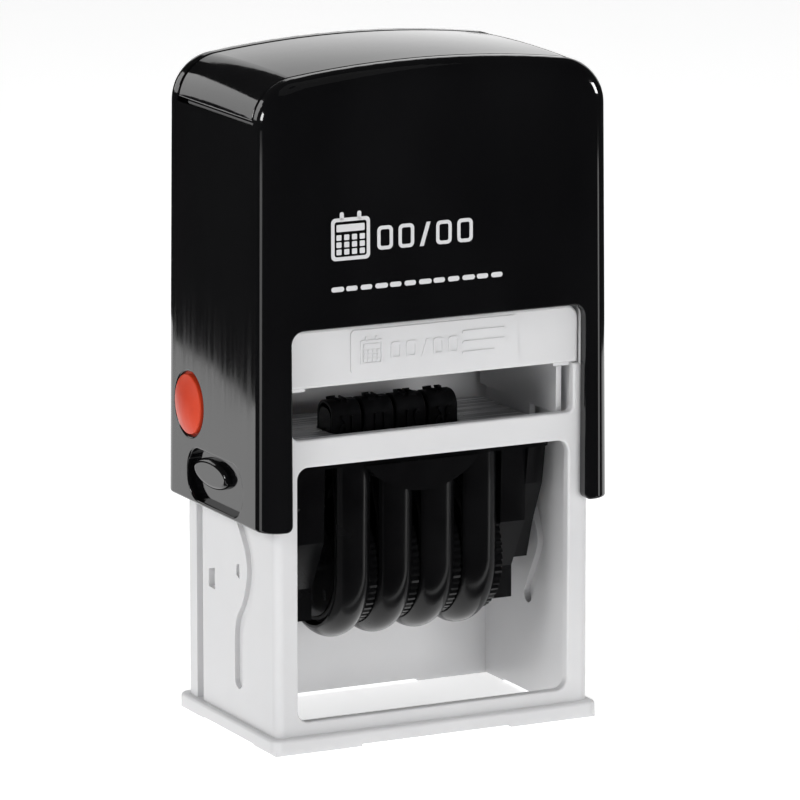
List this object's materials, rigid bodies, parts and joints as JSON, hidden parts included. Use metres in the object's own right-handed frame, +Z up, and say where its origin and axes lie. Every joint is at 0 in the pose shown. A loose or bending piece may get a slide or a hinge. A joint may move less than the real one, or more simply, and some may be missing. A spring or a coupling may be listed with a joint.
{
  "type": "rotary date stamp",
  "caption": "Self-inking date stamp: glossy press-down cover over an open white frame; pressing it flips a date-band platen from ink pad to paper",
  "frame": {"origin": "centre of the base, on the surface that the stamp stands on", "axes": "+Z up, +Y to the back, +X to the right seen from the front window"},
  "size_m": [0.0606, 0.0364, 0.1039],
  "materials": {
    "white_plastic": "smooth moulded, low gloss",
    "black_gloss": "high gloss moulded",
    "black_plastic": "semi-gloss moulded",
    "band_rubber": "matt rubber",
    "grey_plate": "satin, fine grain",
    "red_plastic": "gloss",
    "pad_felt": "inked felt",
    "steel": "drawn wire"
  },
  "bodies": {
    "frame": {"frame_shell": "white_plastic", "foot_pads": "white_plastic", "spring_deck": "white_plastic", "return_spring": "steel"},
    "ink_tray": {"ink_tray": "white_plastic", "ink_pad": "pad_felt"},
    "cover": {"cover_shell": "black_gloss", "top_insert": "black_gloss", "platen_yoke": "white_plastic", "yoke_screws": "steel", "axle_cap_left": "black_gloss", "button_retainer_left": "black_plastic", "axle_cap_right": "black_gloss", "button_retainer_right": "black_plastic"},
    "platen": {"die_plate": "grey_plate", "platen_housing": "black_plastic", "band_bridge": "black_plastic", "band_guard": "black_plastic", "wheel_shaft": "steel", "pivot_crank_left": "black_plastic", "pivot_crank_right": "black_plastic", "date_band_1": "band_rubber", "date_band_2": "band_rubber", "date_band_3": "band_rubber", "date_band_4": "band_rubber"},
    "lock_button_left": {"lock_button_left": "red_plastic"},
    "lock_button_right": {"lock_button_right": "red_plastic"},
    "setting_wheel_1": {"setting_wheel_1": "black_plastic"},
    "setting_wheel_2": {"setting_wheel_2": "black_plastic"},
    "setting_wheel_3": {"setting_wheel_3": "black_plastic"},
    "setting_wheel_4": {"setting_wheel_4": "black_plastic"}
  },
  "joints": [
    {"name": "cover_press", "type": "slide", "parent": "frame", "child": "cover", "axis": [0, 0, -1], "range_m": [0, 0.0276], "stiffness_N_per_m": 250, "springref_m": -0.012, "deforming": ["return_spring"]},
    {"name": "platen_flip", "type": "hinge", "parent": "cover", "child": "platen", "pos_m": [0, 0, 0.039], "axis": [-1, 0, 0], "range_deg": [0, 180]},
    {"name": "ink_tray_slide", "type": "slide", "parent": "frame", "child": "ink_tray", "axis": [0, 1, 0], "range_m": [-0.032, 0]},
    {"name": "lock_button_left_push", "type": "slide", "parent": "cover", "child": "lock_button_left", "axis": [1, 0, 0], "range_m": [0, 0.0008], "stiffness_N_per_m": 400, "springref_m": -0.001},
    {"name": "lock_button_right_push", "type": "slide", "parent": "cover", "child": "lock_button_right", "axis": [-1, 0, 0], "range_m": [0, 0.0008], "stiffness_N_per_m": 400, "springref_m": -0.001},
    {"name": "setting_wheel_1_spin", "type": "hinge", "parent": "platen", "child": "setting_wheel_1", "pos_m": [0, 0, 0.0249], "axis": [1, 0, 0], "continuous": true},
    {"name": "setting_wheel_2_spin", "type": "hinge", "parent": "platen", "child": "setting_wheel_2", "pos_m": [0, 0, 0.0249], "axis": [1, 0, 0], "continuous": true},
    {"name": "setting_wheel_3_spin", "type": "hinge", "parent": "platen", "child": "setting_wheel_3", "pos_m": [0, 0, 0.0249], "axis": [1, 0, 0], "continuous": true},
    {"name": "setting_wheel_4_spin", "type": "hinge", "parent": "platen", "child": "setting_wheel_4", "pos_m": [0, 0, 0.0249], "axis": [1, 0, 0], "continuous": true}
  ],
  "couplings": [
    {"joint": "platen_flip", "follows": "cover_press", "rad_per_m": 113.83}
  ]
}
